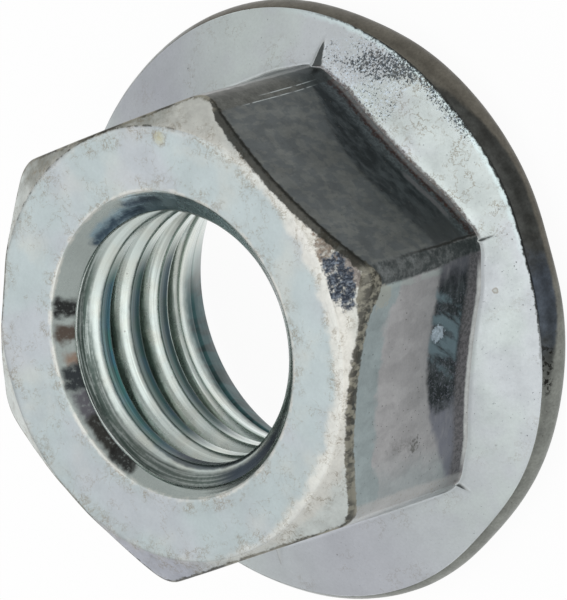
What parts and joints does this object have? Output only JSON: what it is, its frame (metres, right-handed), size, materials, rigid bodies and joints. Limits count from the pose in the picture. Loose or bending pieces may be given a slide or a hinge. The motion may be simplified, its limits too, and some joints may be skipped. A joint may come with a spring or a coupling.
{
  "type": "serrated flange nut",
  "caption": "Forged hexagon nut with a coned round flange, rounded rim and ratchet serrations on the bearing side; plain bore stands for the coarse thread.",
  "frame": {"origin": "centre of the bearing side, on the thread axis, in the plane of the serrations' crests", "axes": "+Z along the thread axis from the flange to the hexagon's top face; +X through one corner of the hexagon and the middle of one serration's crest"},
  "size_m": [0.0262, 0.0262, 0.011],
  "materials": {
    "zinc_plated_steel": "clear zinc plate, semi-gloss, worn on the edges"
  },
  "bodies": {
    "root": {"flange_nut": "zinc_plated_steel"}
  },
  "joints": []
}
